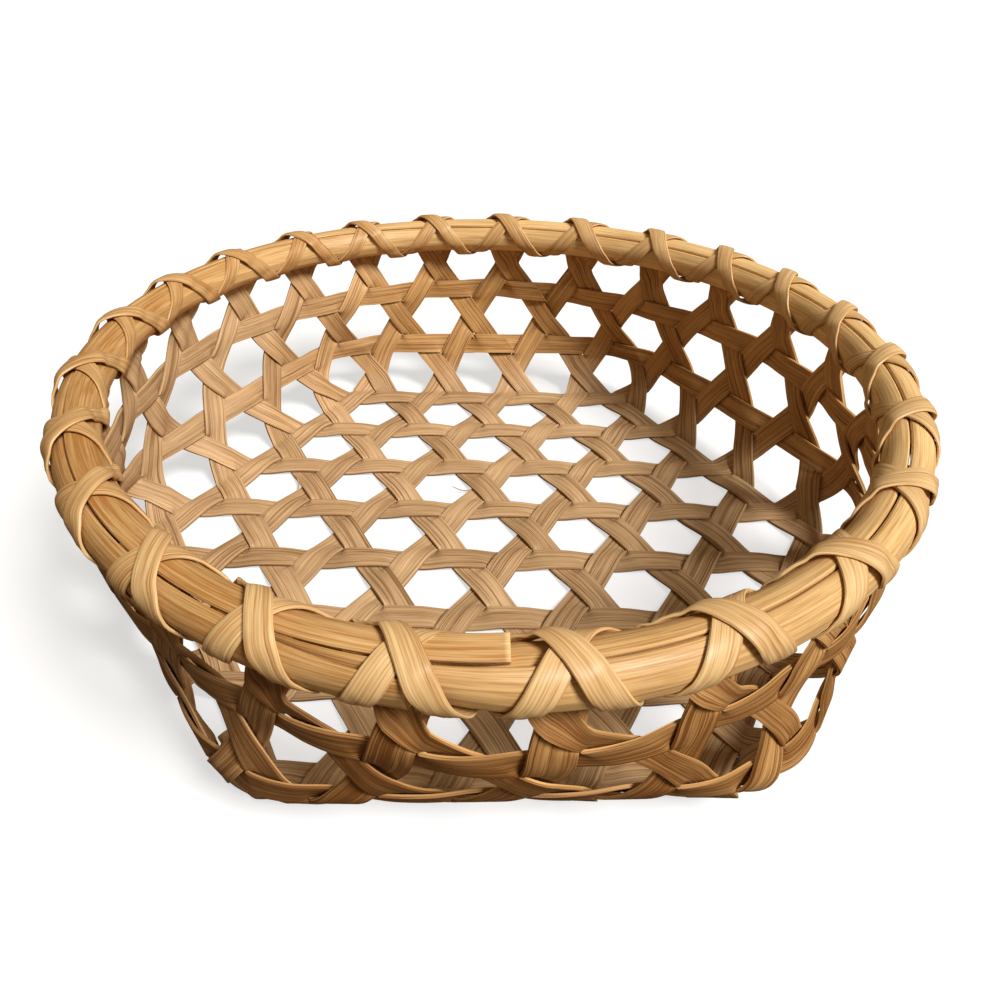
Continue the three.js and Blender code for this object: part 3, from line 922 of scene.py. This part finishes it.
# Floor, light and camera
# A pale floor that keeps the basket's shadow, a faint warm sky, one soft light from the right, and a
# camera at the photo's place. The camera sees floor and sky brighter than they light the basket.
FLOOR_REACH = 4
FLOOR_COLOUR = (0.42, 0.425, 0.44, 1)
FLOOR_GLOW = 0.62
FLOOR_BOUNCE = (0.12, 0.085, 0.055, 1)
SKY_COLOUR = (1, 0.8, 0.54, 1)
SKY_STRENGTH = 0.22
WHITE = (1, 1, 1, 1)
corners = [(-FLOOR_REACH, -FLOOR_REACH, 0), (FLOOR_REACH, -FLOOR_REACH, 0)]
corners += [(FLOOR_REACH, FLOOR_REACH, 0), (-FLOOR_REACH, FLOOR_REACH, 0)]
floor_mesh = bpy.data.meshes.new("Floor")
floor_mesh.from_pydata(corners, [], [(0, 1, 2, 3)])
floor = bpy.data.objects.new("Floor", floor_mesh)
bpy.context.scene.collection.objects.link(floor)
floor_paint = bpy.data.materials.new("Pale floor")
floor_paint.use_nodes = True
tree = floor_paint.node_tree
tree.nodes.clear()
seen = add_node(tree, "ShaderNodeLightPath").outputs["Is Camera Ray"]
pale = add_node(tree, "ShaderNodeBsdfDiffuse", {"Color": FLOOR_COLOUR}).outputs[0]
glow = add_node(tree, "ShaderNodeEmission", {"Color": WHITE, "Strength": FLOOR_GLOW}).outputs[0]
bright = add_node(tree, "ShaderNodeAddShader", {0: pale, 1: glow}).outputs[0]
dim = add_node(tree, "ShaderNodeBsdfDiffuse", {"Color": FLOOR_BOUNCE}).outputs[0]
floor_look = add_node(tree, "ShaderNodeMixShader", {0: seen, 1: dim, 2: bright}).outputs[0]
add_node(tree, "ShaderNodeOutputMaterial", {"Surface": floor_look})
floor_mesh.materials.append(floor_paint)

world = bpy.data.worlds.new("Studio")
bpy.context.scene.world = world
world.use_nodes = True
tree = world.node_tree
tree.nodes.clear()
seen = add_node(tree, "ShaderNodeLightPath").outputs["Is Camera Ray"]
soft = add_node(tree, "ShaderNodeBackground", {"Color": SKY_COLOUR, "Strength": SKY_STRENGTH}).outputs[0]
white = add_node(tree, "ShaderNodeBackground", {"Color": WHITE, "Strength": 1.0}).outputs[0]
sky = add_node(tree, "ShaderNodeMixShader", {0: seen, 1: soft, 2: white}).outputs[0]
add_node(tree, "ShaderNodeOutputWorld", {"Surface": sky})

WINDOW_STRENGTH = 3.9
WINDOW_SPREAD = np.radians(20)
WINDOW_COLOUR = (1, 0.97, 0.92)
WINDOW_TILT = np.radians(41)
WINDOW_TURN = np.radians(-42)
lamp = bpy.data.lights.new("Window", "SUN")
lamp.energy = WINDOW_STRENGTH
lamp.angle = WINDOW_SPREAD
lamp.color = WINDOW_COLOUR
window = bpy.data.objects.new("Window", lamp)
bpy.context.scene.collection.objects.link(window)
window.rotation_euler = (0, WINDOW_TILT, WINDOW_TURN)

CAMERA_AT = (-5.45, -235.18, 188.17)
CAMERA_PITCH = np.radians(36.008)
CAMERA_YAW = np.radians(-0.979)
CAMERA_NEAREST = 0.01
SENSOR_WIDTH = 36
PICTURE_PIXELS = 1000
FOCAL_PIXELS = 798.9
CENTRE_PIXEL_ACROSS = 460
CENTRE_PIXEL_DOWN = 500
lens = bpy.data.cameras.new("Camera")
lens.sensor_width = SENSOR_WIDTH
lens.lens = FOCAL_PIXELS / PICTURE_PIXELS * SENSOR_WIDTH
lens.shift_x = (PICTURE_PIXELS / 2 - CENTRE_PIXEL_ACROSS) / PICTURE_PIXELS
lens.shift_y = (CENTRE_PIXEL_DOWN - PICTURE_PIXELS / 2) / PICTURE_PIXELS
lens.clip_start = CAMERA_NEAREST
camera = bpy.data.objects.new("Camera", lens)
bpy.context.scene.collection.objects.link(camera)
camera.location = np.array(CAMERA_AT) * MM
camera.rotation_euler = (np.pi / 2 - CAMERA_PITCH, 0, -CAMERA_YAW)
bpy.context.scene.camera = camera
bpy.context.scene.view_settings.view_transform = "Standard"
